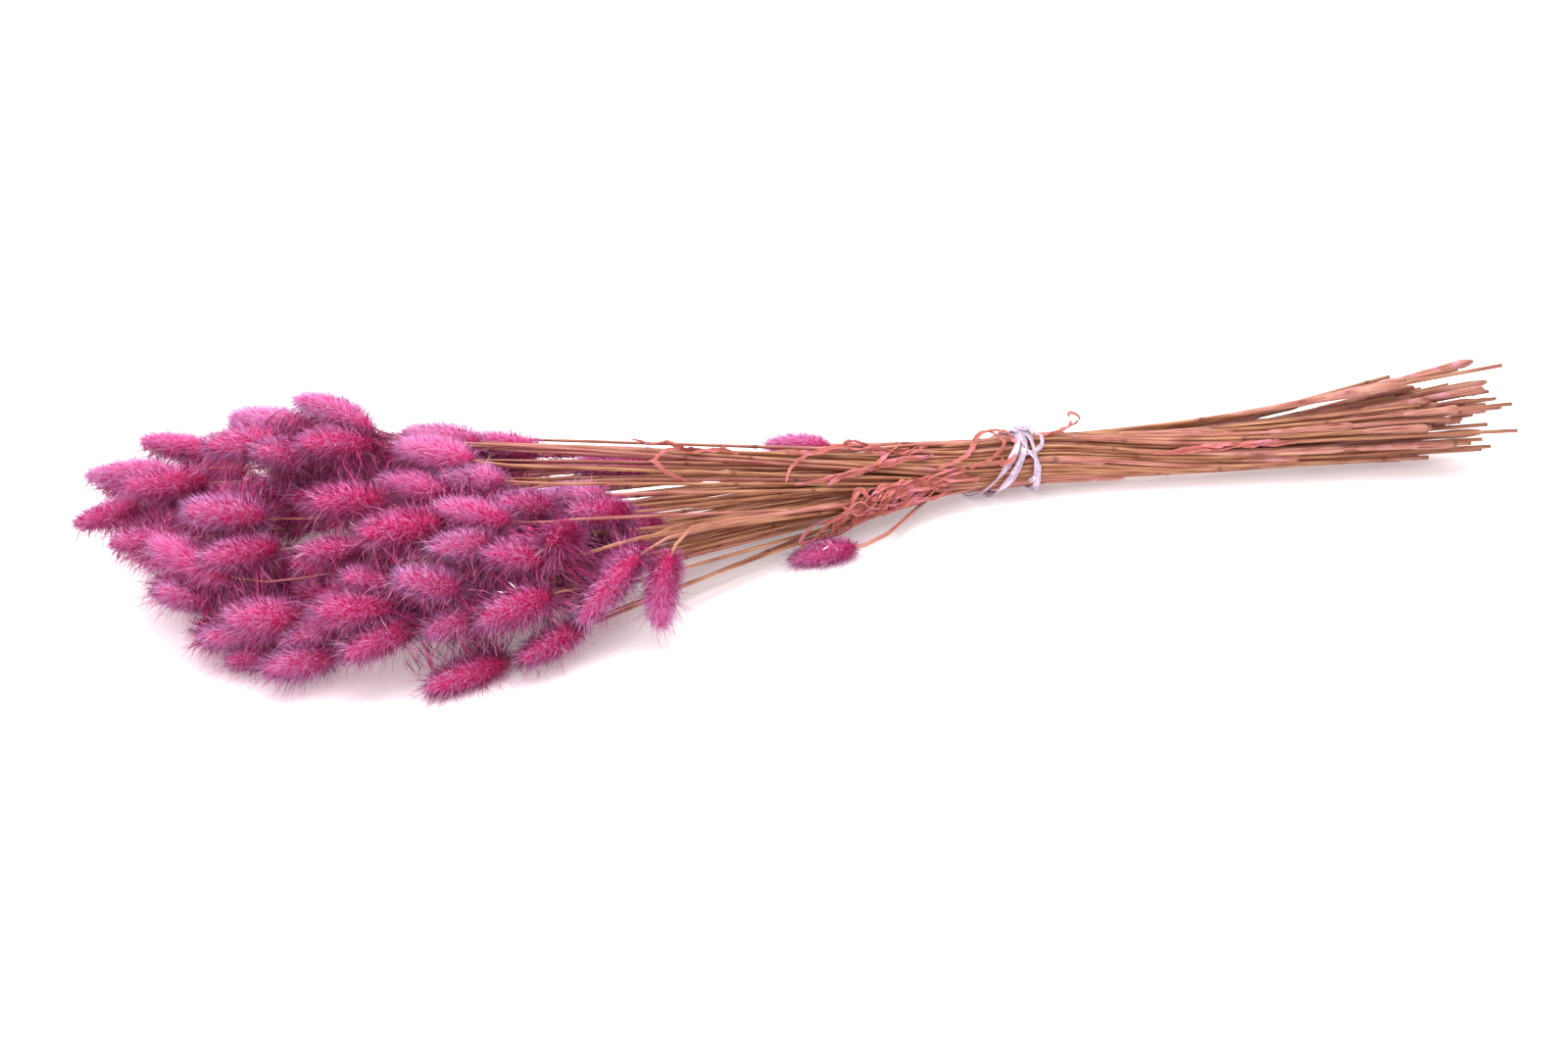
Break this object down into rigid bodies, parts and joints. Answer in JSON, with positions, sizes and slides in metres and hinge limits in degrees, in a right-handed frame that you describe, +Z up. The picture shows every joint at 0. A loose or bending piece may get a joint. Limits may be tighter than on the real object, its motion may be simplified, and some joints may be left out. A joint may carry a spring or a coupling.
{
  "type": "bundle of dried bunny tail grass",
  "caption": "Bundle of dried, pink-dyed bunny tail grass: soft oval fur heads on thin straw stems with curled leaf sheaths, bound by a knotted white elastic band, lying on its side.",
  "frame": {"origin": "under the middle of the bundle's bounding box, on the surface that it lies on", "axes": "+X from the heads to the cut ends of the stems, +Y to the back of the lying bundle, +Z up"},
  "size_m": [0.6521, 0.1853, 0.0952],
  "materials": {
    "pink_dyed_fur": "matt, soft fur of fine dyed hairs",
    "dried_stem": "dry straw, faintly glossy",
    "coral_leaf_sheath": "dry, papery leaf",
    "white_elastic": "smooth, slightly see-through elastic"
  },
  "bodies": {
    "root": {"head_01": "pink_dyed_fur", "head_02": "pink_dyed_fur", "head_04": "pink_dyed_fur", "head_06": "pink_dyed_fur", "head_14": "pink_dyed_fur", "head_16": "pink_dyed_fur", "head_27": "pink_dyed_fur", "head_31": "pink_dyed_fur", "head_33": "pink_dyed_fur", "head_36": "pink_dyed_fur", "head_40": "pink_dyed_fur", "head_41": "pink_dyed_fur", "head_43": "pink_dyed_fur", "head_50": "pink_dyed_fur", "head_51": "pink_dyed_fur", "head_52": "pink_dyed_fur", "head_56": "pink_dyed_fur", "head_66": "pink_dyed_fur", "head_67": "pink_dyed_fur", "head_70": "pink_dyed_fur", "head_78": "pink_dyed_fur", "head_84": "pink_dyed_fur", "head_89": "pink_dyed_fur", "heads_03_57": "pink_dyed_fur", "heads_05_34_35": "pink_dyed_fur", "heads_07_08_09": "pink_dyed_fur", "heads_10_11": "pink_dyed_fur", "heads_12_15_17": "pink_dyed_fur", "heads_13_79": "pink_dyed_fur", "heads_18_19_25": "pink_dyed_fur", "heads_20_21_22": "pink_dyed_fur", "heads_23_24_26": "pink_dyed_fur", "heads_28_29_30": "pink_dyed_fur", "heads_32_39_48": "pink_dyed_fur", "heads_37_38_47": "pink_dyed_fur", "heads_42_46_49": "pink_dyed_fur", "heads_44_45_72": "pink_dyed_fur", "heads_53_60_83": "pink_dyed_fur", "heads_54_63": "pink_dyed_fur", "heads_55_71_93": "pink_dyed_fur", "heads_58_73_82": "pink_dyed_fur", "heads_59_85": "pink_dyed_fur", "heads_61_88": "pink_dyed_fur", "heads_62_76_94": "pink_dyed_fur", "heads_64_68": "pink_dyed_fur", "heads_65_96": "pink_dyed_fur", "heads_69_87_90": "pink_dyed_fur", "heads_74_92_97": "pink_dyed_fur", "heads_75_81_91": "pink_dyed_fur", "heads_77_95": "pink_dyed_fur", "heads_80_86": "pink_dyed_fur", "leaf_sheath_1": "coral_leaf_sheath", "leaf_sheath_2": "coral_leaf_sheath", "leaf_sheath_3": "coral_leaf_sheath", "leaf_sheath_4": "coral_leaf_sheath", "leaf_sheath_5": "coral_leaf_sheath", "leaf_sheath_6": "coral_leaf_sheath", "leaf_sheath_7": "coral_leaf_sheath", "stems": "dried_stem", "tie": "white_elastic"}
  },
  "joints": []
}
